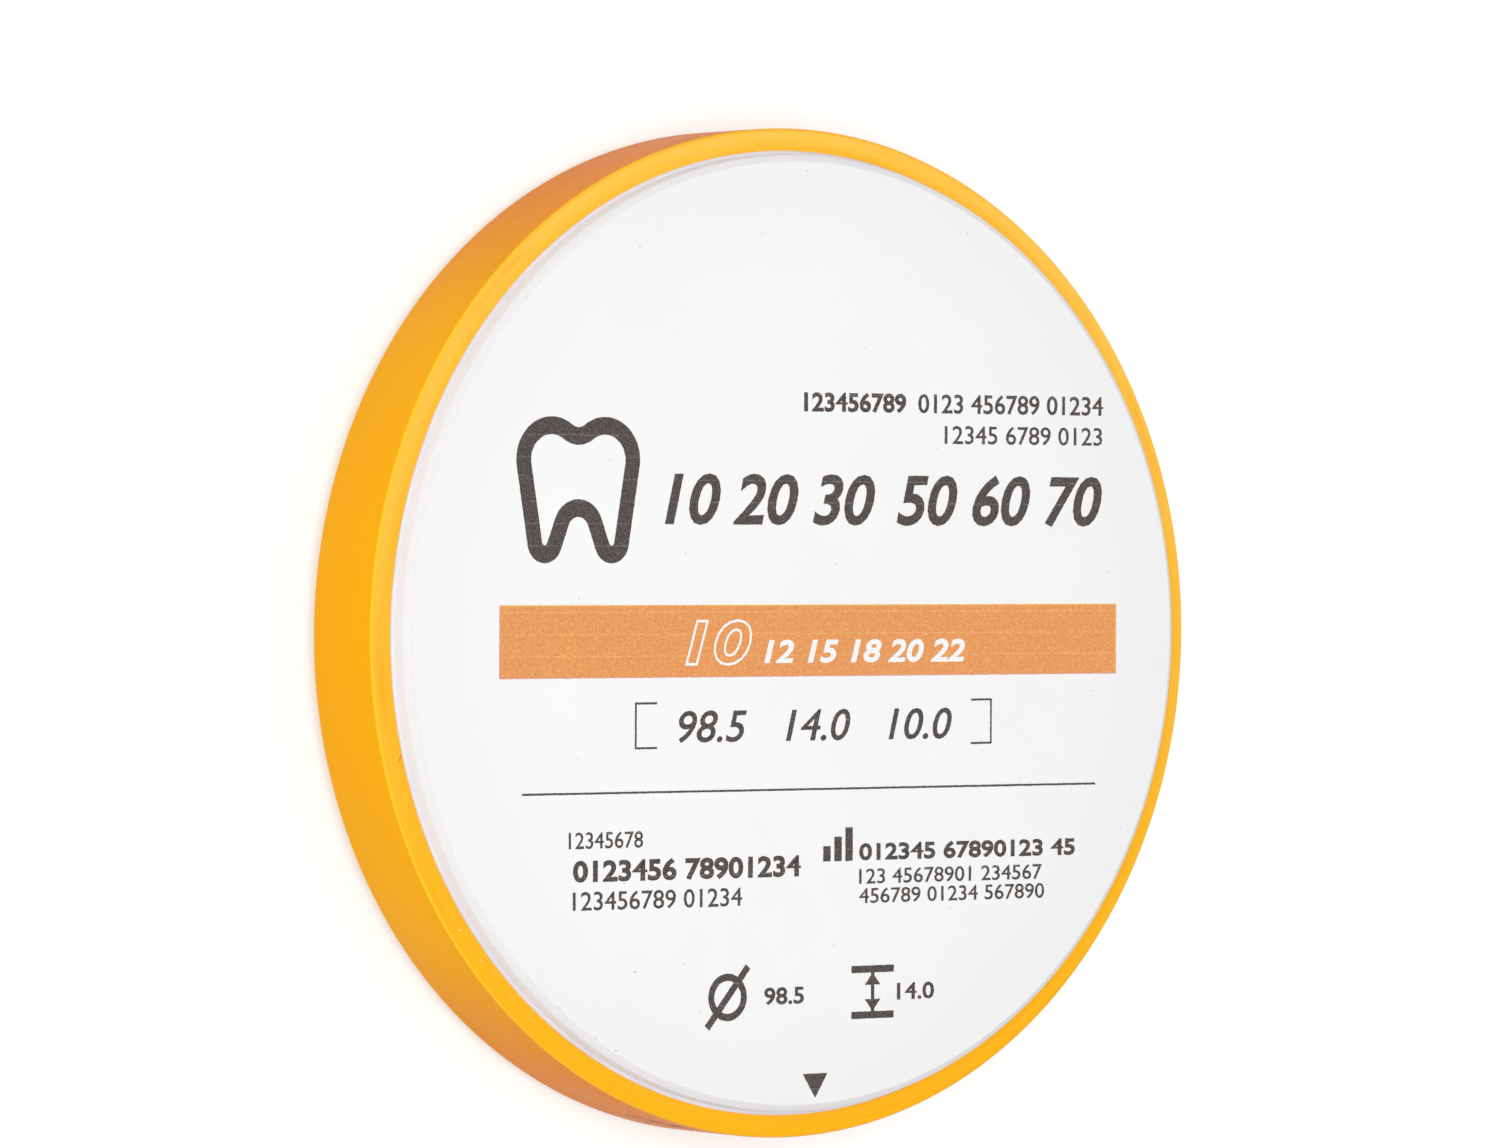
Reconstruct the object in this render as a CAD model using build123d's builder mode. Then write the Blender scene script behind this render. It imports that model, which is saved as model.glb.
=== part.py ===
from build123d import *
import os

# Dental milling disc: a pressed zirconia blank bonded into a moulded collar ring, with its print.
# The disc lies on its back face. Its axis is +Z, its origin is the centre of that face, and the
# print reads along +X with its top towards +Y. All sizes are in millimetres.

# Collar ring: the band that a milling machine's holder grips
collar_diameter = 98.5
collar_height = 10.0
collar_wall = 2.2
collar_edge_radius = 0.3

# Bond: the adhesive between blank and collar, with a hollow surface on each side
bond_gap = 0.45
bond_sag = 0.12

# Blank: pressed zirconia, proud of the collar on both sides, with a chamfer round each face
blank_thickness = 14.0
chamfer_width = 0.65
chamfer_height = 0.5

# Print: thin films of ink on the front face, set a little to the right of its centre
ink_film = 0.02
print_shift = 1.5
line_width = 0.2

# Colour stripe across the middle
stripe_length = 75.0
stripe_height = 7.0
stripe_y = -0.7

# Pair of square brackets under the stripe
bracket_span = 43.4
bracket_height = 4.5
bracket_arm = 2.6
bracket_y = -8.8

# Dividing rule
rule_length = 69.7
rule_y = -15.2

# Filled triangle that points at the edge, used to set the disc square in its holder
arrow_width = 3.0
arrow_height = 2.4
arrow_margin = 0.6

# Outline of a molar tooth, to the left of the headline
tooth_x = -28.4
tooth_y = 13.8
tooth_height = 14.0
tooth_cusp_radius = 4.1
tooth_cusp_pitch = 6.2
tooth_root_radius = 2.0
tooth_root_pitch = 7.8
tooth_notch_radius = 1.2
tooth_stroke = 1.7

# Ascending bars beside the small print on the right
bar_width = 0.9
bar_pitch = 1.35
bar_heights = (1.5, 2.4, 3.3)
bars_x = 0.9
bars_y = -22.3

# Diameter sign and thickness sign in the bottom row, a fixed way in from the edge of the face
sign_stroke = 0.7
sign_row_margin = 10.75
diameter_sign_x = -10.6
diameter_sign_radius = 2.3
diameter_slash_length = 7.6
diameter_slash_angle = 50.0
thickness_sign_x = 7.0
thickness_sign_width = 5.2
thickness_sign_height = 5.2
thickness_shaft_width = 0.4
thickness_head_width = 1.9
thickness_head_height = 1.2

# Sizes that follow from those above
collar_radius = collar_diameter / 2
bore_radius = collar_radius - collar_wall
blank_radius = bore_radius - bond_gap
face_radius = blank_radius - chamfer_width
collar_base = (blank_thickness - collar_height) / 2
collar_top = collar_base + collar_height
sign_row_y = sign_row_margin - face_radius
print_plane = Plane((print_shift, 0, blank_thickness))
tooth_plane = Plane((print_shift + tooth_x, tooth_y, blank_thickness))
diameter_plane = Plane((print_shift + diameter_sign_x, sign_row_y, blank_thickness))
thickness_plane = Plane((print_shift + thickness_sign_x, sign_row_y, blank_thickness))

os.makedirs("parts", exist_ok=True)

# Pressed zirconia blank
with BuildPart() as zirconia_blank:
    with BuildSketch(Plane.XZ):
        with BuildLine():
            Polyline(
                (0, 0),
                (face_radius, 0),
                (blank_radius, chamfer_height),
                (blank_radius, blank_thickness - chamfer_height),
                (face_radius, blank_thickness),
                (0, blank_thickness),
                close=True,
            )
        make_face()
    revolve(axis=Axis.Z)
zirconia_blank.part.label = "zirconia_blank"
export_step(zirconia_blank.part, "parts/zirconia_blank.step")

# Moulded collar ring, rounded along its two outer edges
with BuildPart() as collar_ring:
    with BuildSketch(Plane.XY.offset(collar_base)):
        Circle(collar_radius)
        Circle(bore_radius, mode=Mode.SUBTRACT)
    extrude(amount=collar_height)
    outer_edges = collar_ring.edges().filter_by(GeomType.CIRCLE).group_by(SortBy.RADIUS)[-1]
    fillet(outer_edges, radius=collar_edge_radius)
collar_ring.part.label = "collar_ring"
export_step(collar_ring.part, "parts/collar_ring.step")

# Adhesive that fills the gap, drawn up both walls so that its surfaces sag between them
with BuildPart() as bond_line:
    with BuildSketch(Plane.XZ):
        with BuildLine():
            middle = (blank_radius + bore_radius) / 2
            Line((blank_radius, collar_base), (blank_radius, collar_top))
            ThreePointArc(
                (blank_radius, collar_top),
                (middle, collar_top - bond_sag),
                (bore_radius, collar_top),
            )
            Line((bore_radius, collar_top), (bore_radius, collar_base))
            ThreePointArc(
                (bore_radius, collar_base),
                (middle, collar_base + bond_sag),
                (blank_radius, collar_base),
            )
        make_face()
    revolve(axis=Axis.Z)
bond_line.part.label = "bond_line"
export_step(bond_line.part, "parts/bond_line.step")

# Colour stripe
with BuildPart() as print_stripe:
    with BuildSketch(print_plane):
        with Locations((0, stripe_y)):
            Rectangle(stripe_length, stripe_height)
    extrude(amount=ink_film)
print_stripe.part.label = "print_stripe"
export_step(print_stripe.part, "parts/print_stripe.step")

# Square brackets: a frame of thin line, of which only the two ends stay
with BuildPart() as print_brackets:
    with BuildSketch(print_plane):
        with Locations((0, bracket_y)):
            Rectangle(bracket_span, bracket_height)
            Rectangle(bracket_span - 2 * line_width, bracket_height - 2 * line_width, mode=Mode.SUBTRACT)
            Rectangle(bracket_span - 2 * bracket_arm, bracket_height, mode=Mode.SUBTRACT)
    extrude(amount=ink_film)
print_brackets.part.label = "print_brackets"
export_step(print_brackets.part, "parts/print_brackets.step")

# Dividing rule
with BuildPart() as print_rule:
    with BuildSketch(print_plane):
        with Locations((0, rule_y)):
            Rectangle(rule_length, line_width)
    extrude(amount=ink_film)
print_rule.part.label = "print_rule"
export_step(print_rule.part, "parts/print_rule.step")

# Triangle with its point a fixed margin inside the edge of the face
with BuildPart() as print_arrow:
    with BuildSketch(print_plane):
        arrow_tip_y = arrow_margin - face_radius
        with BuildLine():
            Polyline(
                (0, arrow_tip_y),
                (arrow_width / 2, arrow_tip_y + arrow_height),
                (-arrow_width / 2, arrow_tip_y + arrow_height),
                close=True,
            )
        make_face()
    extrude(amount=ink_film)
print_arrow.part.label = "print_arrow"
export_step(print_arrow.part, "parts/print_arrow.step")

# Tooth outline: half of a molar is a hull round its cusp and its root, then it is mirrored,
# its two notches are rounded and its inside is cut out
with BuildPart() as print_tooth:
    with BuildSketch(tooth_plane) as tooth_outline:
        with Locations((tooth_cusp_pitch / 2, tooth_height / 2 - tooth_cusp_radius)):
            Circle(tooth_cusp_radius)
        with Locations((tooth_root_pitch / 2, tooth_root_radius - tooth_height / 2)):
            Circle(tooth_root_radius)
        make_hull()
        mirror(about=Plane.YZ)
        notches = tooth_outline.vertices().filter_by_position(Axis.X, -line_width, line_width)
        fillet(notches, radius=tooth_notch_radius)
        offset(amount=-tooth_stroke, mode=Mode.SUBTRACT)
    extrude(amount=ink_film)
print_tooth.part.label = "print_tooth"
export_step(print_tooth.part, "parts/print_tooth.step")

# Three bars that step up to the right
with BuildPart() as print_bars:
    with BuildSketch(print_plane):
        for step, height in enumerate(bar_heights):
            with Locations((bars_x + step * bar_pitch, bars_y)):
                Rectangle(bar_width, height, align=(Align.MIN, Align.MIN))
    extrude(amount=ink_film)
print_bars.part.label = "print_bars"
export_step(print_bars.part, "parts/print_bars.step")

# Diameter sign: a ring with a slanting stroke through it
with BuildPart() as print_diameter_sign:
    with BuildSketch(diameter_plane):
        Circle(diameter_sign_radius)
        Circle(diameter_sign_radius - sign_stroke, mode=Mode.SUBTRACT)
        Rectangle(diameter_slash_length, sign_stroke, rotation=diameter_slash_angle)
    extrude(amount=ink_film)
print_diameter_sign.part.label = "print_diameter_sign"
export_step(print_diameter_sign.part, "parts/print_diameter_sign.step")

# Thickness sign: the upper face line, half a shaft and its arrow head, mirrored downwards
with BuildPart() as print_thickness_sign:
    with BuildSketch(thickness_plane):
        head_tip_y = thickness_sign_height / 2 - sign_stroke
        with Locations((0, thickness_sign_height / 2)):
            Rectangle(thickness_sign_width, sign_stroke, align=(Align.CENTER, Align.MAX))
        Rectangle(thickness_shaft_width, head_tip_y, align=(Align.CENTER, Align.MIN))
        with BuildLine():
            Polyline(
                (0, head_tip_y),
                (thickness_head_width / 2, head_tip_y - thickness_head_height),
                (-thickness_head_width / 2, head_tip_y - thickness_head_height),
                close=True,
            )
        make_face()
        mirror(about=Plane.XZ)
    extrude(amount=ink_film)
print_thickness_sign.part.label = "print_thickness_sign"
export_step(print_thickness_sign.part, "parts/print_thickness_sign.step")
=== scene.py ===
import logging
import math
from collections.abc import Iterable
from dataclasses import dataclass
from enum import Enum

import bmesh
import bpy
from mathutils import Matrix, Vector, noise


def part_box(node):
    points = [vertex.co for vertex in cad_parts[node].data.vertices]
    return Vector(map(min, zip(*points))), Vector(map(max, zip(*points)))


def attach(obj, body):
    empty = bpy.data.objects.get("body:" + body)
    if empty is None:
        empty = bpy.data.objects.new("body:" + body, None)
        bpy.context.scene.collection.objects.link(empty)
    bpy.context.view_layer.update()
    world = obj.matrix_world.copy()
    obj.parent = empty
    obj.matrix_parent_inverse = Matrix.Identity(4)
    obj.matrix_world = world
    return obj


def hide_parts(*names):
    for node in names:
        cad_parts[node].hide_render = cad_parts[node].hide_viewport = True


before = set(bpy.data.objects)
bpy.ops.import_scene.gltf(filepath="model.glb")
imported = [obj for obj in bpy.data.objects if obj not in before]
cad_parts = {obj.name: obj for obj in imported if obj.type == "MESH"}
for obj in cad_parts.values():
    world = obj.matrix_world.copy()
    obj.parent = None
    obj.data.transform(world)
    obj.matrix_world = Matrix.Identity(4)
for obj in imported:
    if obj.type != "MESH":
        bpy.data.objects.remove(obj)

# A dental milling disc: a white pressed blank in a yellow collar ring, with a printed face.
# The script works in metres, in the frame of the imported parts: the disc lies on its back face,
# +Z is its axis, +X runs along the lines of print and +Y is towards the top of the print.

MM = 0.001
BODY = "root"

# Points of a mesh that are closer than this are one
WELD = 0.001 * MM
# Two faces that meet at a larger angle than this have a sharp edge between them
SHARP_ANGLE = math.radians(35)
# Patterns that run round the disc's axis are laid out at this radius
RING_RADIUS_MM = 48.0

# Settings that many nodes share, and the sockets of a node that mixes two colours
PLUS, MINUS, TIMES = {"operation": "ADD"}, {"operation": "SUBTRACT"}, {"operation": "MULTIPLY"}
UNSIGNED, LENGTH = {"operation": "ABSOLUTE"}, {"operation": "LENGTH"}
EASED = {"interpolation_type": "SMOOTHSTEP", "clamp": True}
COLOURS = {"data_type": "RGBA"}
FACTOR, UNDER, OVER = 0, 6, 7

# A colour laid over others, with the factors of how much it hides of them. A factor is a node,
# or an eased ramp: what it reads, from where to where, and what it gives at those two ends.
Ramp = tuple[bpy.types.Node | bpy.types.NodeSocket | float, ...]
Layer = tuple[str | bpy.types.Node | Ramp, ...]

log = logging.getLogger("milling_disc")


def linear(hex_colour: str) -> tuple[float, float, float, float]:
    """Turn an sRGB hex colour into a linear colour with full opacity.

    Args:
        hex_colour: the colour, such as "#F3F2F0".

    Returns:
        Red, green, blue and alpha, each from 0 to 1.
    """
    channels = [int(hex_colour[place : place + 2], 16) / 255 for place in (1, 3, 5)]
    curve = [c / 12.92 if c <= 0.04045 else ((c + 0.055) / 1.055) ** 2.4 for c in channels]
    return (curve[0], curve[1], curve[2], 1.0)


def add_node(
    tree: bpy.types.NodeTree, kind: str, settings: dict | None = None, inputs: dict | tuple = ()
) -> bpy.types.Node:
    """Add one node to a node tree, with its settings and links.

    Args:
        tree: the tree that gets the node.
        kind: the node's type name, without its "ShaderNode" prefix.
        settings: attribute names and their values.
        inputs: what goes into its sockets, in order or by socket: a value, another node's
            output, or a node, which gives its first output in use.

    Returns:
        The new node.
    """
    node = tree.nodes.new("ShaderNode" + kind)
    for name, value in (settings or {}).items():
        setattr(node, name, value)
    for socket, value in inputs.items() if isinstance(inputs, dict) else enumerate(inputs):
        if isinstance(value, bpy.types.Node):
            value = next(output for output in value.outputs if output.enabled)
        if isinstance(value, bpy.types.NodeSocket):
            tree.links.new(value, node.inputs[socket])
        else:
            node.inputs[socket].default_value = value
    return node


def placed(name: str, data: bpy.types.ID) -> bpy.types.Object:
    """Put a mesh, a lamp, a lens or words into the scene, at its origin.

    Args:
        name: the object's name.
        data: what the object shows.

    Returns:
        The new object.
    """
    thing = bpy.data.objects.new(name, data)
    bpy.context.scene.collection.objects.link(thing)
    return thing


@dataclass(frozen=True)
class SurfacePoint:
    """The point of the surface that a material is asked about, in millimetres.

    Attributes:
        tree: the material's tree.
        place: the point itself.
        flat: the point with its height left out.
        radius: its distance from the disc's axis.
        x: its distance along the lines of print.
        y: its distance towards the top of the print.
        z: its height.
    """

    tree: bpy.types.NodeTree
    place: bpy.types.Node
    flat: bpy.types.Node
    radius: bpy.types.Node
    x: bpy.types.NodeSocket
    y: bpy.types.NodeSocket
    z: bpy.types.NodeSocket

    @classmethod
    def of(cls, tree: bpy.types.NodeTree) -> "SurfacePoint":
        """Read the point from the object's own coordinates.

        Args:
            tree: the material's tree.

        Returns:
            The point.
        """
        metres = add_node(tree, "TexCoord").outputs["Object"]
        place = add_node(tree, "Mapping", {}, {"Vector": metres, "Scale": (1 / MM,) * 3})
        flat = add_node(tree, "VectorMath", TIMES, (place, (1.0, 1.0, 0.0)))
        radius = add_node(tree, "VectorMath", LENGTH, (flat,))
        x, y, z = add_node(tree, "SeparateXYZ", {}, (place,)).outputs
        return cls(tree, place, flat, radius, x, y, z)

    def round_ring(self, along: float, across: float) -> bpy.types.Node:
        """Give a seamless point for streaks that run round the disc's axis.

        Args:
            along: millimetres round the ring to one unit of the pattern.
            across: millimetres across the ring, or up its wall, to one unit of the pattern.

        Returns:
            The node of the point.
        """
        tree = self.tree
        unit = add_node(tree, "VectorMath", {"operation": "NORMALIZE"}, (self.flat,))
        span = {0: unit, "Scale": RING_RADIUS_MM / along}
        turned = add_node(tree, "VectorMath", {"operation": "SCALE"}, span)
        path = add_node(tree, "Math", PLUS, (self.radius, self.z))
        level = add_node(tree, "Math", {"operation": "DIVIDE"}, (path, across))
        lift = add_node(tree, "CombineXYZ", {}, {2: level})
        return add_node(tree, "VectorMath", PLUS, (turned, lift))


@dataclass(frozen=True)
class Specks:
    """Small round specks, strewn one to a cell.

    Attributes:
        colour: their colour.
        spacing: the size of a cell, in millimetres.
        share: the share of the cells that have one.
        size: the speck's radius as a share of its cell.
        strength: how much of the ground it hides.
    """

    colour: str
    spacing: float
    share: float
    size: float
    strength: float

    def layer(self, point: SurfacePoint) -> Layer:
        """Strew the specks.

        Args:
            point: the surface point.

        Returns:
            Their layer.
        """
        tree = point.tree
        cells = add_node(tree, "TexVoronoi", {}, {"Vector": point.place, "Scale": 1 / self.spacing})
        lot = add_node(tree, "SeparateColor", {}, (cells.outputs["Color"],))
        taken = add_node(tree, "Math", {"operation": "LESS_THAN"}, (lot, self.share))
        core = self.size * 0.6
        dot = (cells.outputs["Distance"], core, self.size, self.strength, 0.0)
        return (self.colour, taken, dot)


@dataclass(frozen=True)
class Mark:
    """One small mark on the object: a scratch, a fleck, a scuff, a stain, or a painted streak of reflected
    shadow.

    Attributes:
        x: its middle, in millimetres from the disc's axis.
        y: its middle, in millimetres from the disc's axis.
        length: how long it is, in millimetres.
        width: how wide it is, in millimetres.
        lean: the angle of its length from +X, in degrees.
        colour: its colour.
        strength: how much of the ground it hides.
        level: the height of its middle, for a mark on the wall.
        height: how tall it is there, or far taller than the disc for a mark on the front.
    """

    x: float
    y: float
    length: float
    width: float
    lean: float
    colour: str
    strength: float = 0.8
    level: float = 0.0
    height: float = 2000.0

    def layer(self, point: SurfacePoint) -> Layer:
        """Make the mark, with a slightly ragged outline.

        Args:
            point: the surface point.

        Returns:
            Its layer.
        """
        tree, ragged_mm = point.tree, 0.15
        own_frame = {
            "Vector": point.place,
            "Location": (self.x, self.y, self.level),
            "Rotation": (0.0, 0.0, math.radians(self.lean)),
            "Scale": (self.length / 2, self.width / 2, self.height / 2),
        }
        local = add_node(tree, "Mapping", {"vector_type": "TEXTURE"}, own_frame)
        away = add_node(tree, "VectorMath", LENGTH, (local,))
        stray = add_node(tree, "TexNoise", {}, {"Vector": point.place, "Scale": 1 / ragged_mm})
        ragged = add_node(tree, "Math", {"operation": "MULTIPLY_ADD"}, (stray, 0.8, away))
        return (self.colour, (ragged, 0.9, 1.5, self.strength, 0.0))


@dataclass(frozen=True)
class Finish:
    """A surface finish, which makes one material: a ground colour with others laid over it in turn.

    Attributes:
        name: the material's name.
        roughness: how far reflections spread.
        ior: the index of refraction.
        gloss: the strength of reflections, 0.5 for what the index gives.
        sheen: the tint of reflections that come straight back.
        ground: the lowest colour.
        marks: single marks, which are laid on last.
    """

    name: str
    roughness: float
    ior: float
    gloss: float = 0.5
    sheen: str = "#FFFFFF"
    ground: str = "#FFFFFF"
    marks: tuple[Mark, ...] = ()

    def layers(self, point: SurfacePoint) -> list[Layer]:
        """List the layers over the ground, lowest first."""
        raise NotImplementedError

    def surface(self, point: SurfacePoint) -> dict[str, bpy.types.Node]:
        """Give what else varies over the surface, by the shader's sockets, which may be nothing."""
        return {}

    def material(self) -> bpy.types.Material:
        """Make the material, or give the one that was made before.

        Returns:
            The material.
        """
        made = bpy.data.materials.get(self.name)
        if made:
            return made
        made = bpy.data.materials.new(self.name)
        made.use_nodes = True
        tree = made.node_tree
        tree.nodes.clear()
        point = SurfacePoint.of(tree)
        colour = linear(self.ground)
        for tint, *factors in self.layers(point) + [mark.layer(point) for mark in self.marks]:
            cover = 1.0
            for factor in factors:
                if isinstance(factor, tuple):
                    factor = add_node(tree, "MapRange", EASED, factor)
                cover = add_node(tree, "Math", TIMES, (cover, factor))
            colour = add_node(tree, "Mix", COLOURS, {FACTOR: cover, UNDER: colour, OVER: linear(tint)})
        inputs = {
            "Base Color": colour,
            "Roughness": self.roughness,
            "IOR": self.ior,
            "Specular IOR Level": self.gloss,
            "Specular Tint": linear(self.sheen),
        }
        shader = add_node(tree, "BsdfPrincipled", {}, inputs | self.surface(point))
        add_node(tree, "OutputMaterial", {}, (shader,))
        return made


@dataclass(frozen=True)
class PressedZirconia(Finish):
    """Pre-sintered zirconia, pressed and skimmed: chalk-white and dead matt, with a very fine grain.

    Attributes:
        ground: the patches that are a hair darker.
        white: the bright patches.
        line: where powder has crumbled from the face's edge.
        painted_outer_shade: painted shade on the outer part of the face, which darkens towards its edge.
        painted_chamfer_shade: painted shade on the chamfers, which turn away from the light.
        side: a painted cool tint on the side wall, which cancels the yellow light that the collar throws on
            it.
        grain_mm: the grain, drawn several times its real 0.03 mm so that it shows.
        grain_share: how far the grain shades the patches.
        cloud_mm: the patches left by skimming.
        crumb_mm: the breaks in the line round the face.
        shade_reach_mm: how far in from the edge the painted shade reaches.
        face_radius_mm: the radius of the face.
        chamfer_mm: the width of the chamfer.
        specks: dust and pigment.
    """

    name: str = "zirconia_pressed_chalky"
    roughness: float = 0.85
    ior: float = 1.5
    ground: str = "#F2F2F2"
    white: str = "#F8F8F8"
    line: str = "#D5D0CB"
    painted_outer_shade: str = "#F0F0F0"
    painted_chamfer_shade: str = "#EBE9EA"
    side: str = "#F0F5FF"
    grain_mm: float = 0.12
    grain_share: float = 0.8
    cloud_mm: float = 9.0
    crumb_mm: float = 1.3
    shade_reach_mm: float = 14.0
    face_radius_mm: float = 45.95
    chamfer_mm: float = 0.65
    specks: Specks = Specks("#A9A39C", spacing=1.8, share=0.13, size=0.07, strength=0.45)
    marks: tuple[Mark, ...] = (
        Mark(-20.1, -32.4, 0.28, 0.22, 0.0, "#8E8780"),
        Mark(-22.3, -39.9, 0.60, 0.16, 152.0, "#B9B1AA", 0.7),
        Mark(-24.6, -38.6, 0.35, 0.14, 148.0, "#B9B1AA", 0.6),
        Mark(-28.9, -35.6, 0.45, 0.14, 140.0, "#BEB6AF", 0.6),
    )

    def layers(self, point: SurfacePoint) -> list[Layer]:
        """List clouds and grain, the painted shade of the outer face, specks, the painted shade of the
        chamfers, the painted cool tint of the side and the nicked edge.

        Args:
            point: the surface point.

        Returns:
            The layers, lowest first.
        """
        tree, place, chamfer = point.tree, point.place, self.chamfer_mm
        grain = add_node(tree, "TexNoise", {}, {"Vector": place, "Scale": 1 / self.grain_mm, "Detail": 1.0})
        centred = add_node(tree, "Math", MINUS, (grain, 0.5))
        clouds = add_node(tree, "TexNoise", {}, {"Vector": place, "Scale": 1 / self.cloud_mm, "Detail": 3.0})
        blended = {"operation": "MULTIPLY_ADD", "use_clamp": True}
        tone = add_node(tree, "Math", blended, (centred, self.grain_share, clouds))
        past_edge = add_node(tree, "Math", MINUS, (point.radius, self.face_radius_mm))
        off_edge = add_node(tree, "Math", UNSIGNED, (past_edge,))
        crumbs = add_node(tree, "TexNoise", {}, {"Vector": place, "Scale": 1 / self.crumb_mm, "Detail": 3.0})
        return [
            (self.white, tone),
            # Painted shade: the outer part of the face darkens towards its edge
            (self.painted_outer_shade, (past_edge, -self.shade_reach_mm, 0.0, 0.0, 0.8)),
            self.specks.layer(point),
            # Painted shade: the chamfers are greyer than the face
            (self.painted_chamfer_shade, (past_edge, -0.02, 0.06, 0.0, 1.0)),
            # Painted cool tint on the side wall, against the collar's yellow bounce light
            (self.side, (past_edge, chamfer - 0.05, chamfer, 0.0, 1.0)),
            # The sharp edge of the face is a broken line, where powder has crumbled away
            (self.line, (off_edge, 0.02, 0.07, 1.0, 0.0), (crumbs, 0.40, 0.70, 0.1, 0.4)),
        ]

    def surface(self, point: SurfacePoint) -> dict[str, bpy.types.Node]:
        """Raise the grain a little.

        Args:
            point: the surface point.

        Returns:
            The shader's normal.
        """
        fine = {"Vector": point.place, "Scale": 1 / self.grain_mm, "Detail": 1.0}
        grain = add_node(point.tree, "TexNoise", {}, fine)
        raised = {"Height": grain, "Strength": 0.25, "Distance": 0.01 * MM}
        return {"Normal": add_node(point.tree, "Bump", {}, raised)}


@dataclass(frozen=True)
class MouldedCollar(Finish):
    """Injection-moulded ABS, golden yellow: satin, with faint smears round it and a few nicks.

    Attributes:
        ground: its front, below the print.
        painted_upper_sheen: painted sheen, paler on its front above the print.
        painted_bore_shade: painted shade, a deeper orange on its front towards the bore, beside the blank's
            raised wall.
        deep_gold: its wall.
        painted_flank_shade: painted shade, a darker, denser orange on the wall far above and below the
            print.
        smear: smears round the ring.
        painted_edge_highlight: a painted highlight along its rounded edges.
        bore_radius_mm: the radius of its bore.
        rim_radius_mm: the radius of its wall.
        middle_mm: the height of its middle.
        half_height_mm: half its height.
        edge_radius_mm: the rounding of its outer edges.
        ripple_mm: the ripples of its moulded skin.
        specks: scuffs and dust.
    """

    name: str = "collar_abs_moulded"
    roughness: float = 0.36
    ior: float = 1.5
    gloss: float = 0.10
    sheen: str = "#FFD860"
    ground: str = "#FFB61A"
    painted_upper_sheen: str = "#FFC650"
    painted_bore_shade: str = "#FFB526"
    deep_gold: str = "#FFB200"
    painted_flank_shade: str = "#F6860C"
    smear: str = "#F2A012"
    painted_edge_highlight: str = "#FFD03C"
    bore_radius_mm: float = 47.05
    rim_radius_mm: float = 49.25
    middle_mm: float = 7.0
    half_height_mm: float = 5.0
    edge_radius_mm: float = 0.3
    ripple_mm: float = 0.35
    specks: Specks = Specks("#FFE9B0", spacing=3.3, share=0.30, size=0.045, strength=0.8)
    marks: tuple[Mark, ...] = (
        Mark(-45.9, -11.6, 1.15, 0.13, 62.0, "#B85A08", 0.85),
        Mark(-39.0, -28.0, 0.30, 0.20, 30.0, "#FFE7B8"),
        Mark(-36.6, -30.9, 0.24, 0.14, 110.0, "#FFE7B8", 0.7),
        Mark(-34.9, -32.2, 0.55, 0.08, 48.0, "#FFE0A0", 0.6),
        Mark(-33.1, -34.6, 0.35, 0.09, 20.0, "#FFE0A0", 0.6),
        Mark(-32.2, -34.4, 0.20, 0.16, 0.0, "#FFEBC4", 0.7),
        # These four dark streaks low on the wall are a painted reflection of shadow
        Mark(-14.9, -46.9, 1.90, 3.0, 0.0, "#A63A12", 0.60, 6.6, 2.6),
        Mark(-13.0, -47.5, 2.20, 3.0, 0.0, "#6E3014", 0.75, 7.6, 2.2),
        Mark(-11.6, -47.9, 1.50, 3.0, 0.0, "#50200C", 0.85, 8.9, 3.4),
        Mark(-10.7, -48.1, 0.70, 3.0, 0.0, "#3E1808", 0.90, 10.0, 1.8),
    )

    def streaks(self, point: SurfacePoint) -> bpy.types.Node:
        """Give a cloudy value that runs round the ring.

        Args:
            point: the surface point.

        Returns:
            The node of the value, from 0 to 1.
        """
        ring = point.round_ring(along=14.0, across=0.9)
        return add_node(point.tree, "TexNoise", {}, {"Vector": ring, "Scale": 1.0, "Detail": 4.0})

    def layers(self, point: SurfacePoint) -> list[Layer]:
        """List the painted sheen towards the top, the painted shade at the bore and on the far wall, the
        smears, the painted highlight on the rounded edges and the flecks.

        Args:
            point: the surface point.

        Returns:
            The layers, lowest first.
        """
        tree, rim, bore = point.tree, self.rim_radius_mm, self.bore_radius_mm
        off_print_line = add_node(tree, "Math", UNSIGNED, (point.y,))
        on_wall = (point.radius, rim - 0.35, rim - 0.02, 0.0, 1.0)

        # The rounding lies past the flat part of the front, and past that of the wall
        off_middle = add_node(tree, "Math", MINUS, (point.z, self.middle_mm))
        away = add_node(tree, "Math", UNSIGNED, (off_middle,))
        past_wall = add_node(tree, "Math", MINUS, (away, self.half_height_mm - self.edge_radius_mm))
        past_front = add_node(tree, "Math", MINUS, (point.radius, rim - self.edge_radius_mm))
        past_both = add_node(tree, "Math", {"operation": "MINIMUM"}, (past_wall, past_front))
        return [
            # Painted sheen: the front pales towards the top
            (self.painted_upper_sheen, (point.y, -bore, bore, 0.0, 1.0)),
            # Painted shade: the front turns a deeper orange towards the bore
            (self.painted_bore_shade, (point.radius, bore, rim - 0.6, 0.7, 0.0)),
            (self.smear, (self.streaks(point), 0.50, 0.78, 0.0, 0.5)),
            (self.deep_gold, on_wall),
            # Painted shade: the wall darkens far above and below the print
            (self.painted_flank_shade, (off_print_line, 26.0, 50.0, 0.0, 1.0), on_wall),
            # Painted highlight along the rounded edges of the ring
            (self.painted_edge_highlight, (past_both, 0.02, 0.16, 0.0, 0.65)),
            self.specks.layer(point),
        ]

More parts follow.
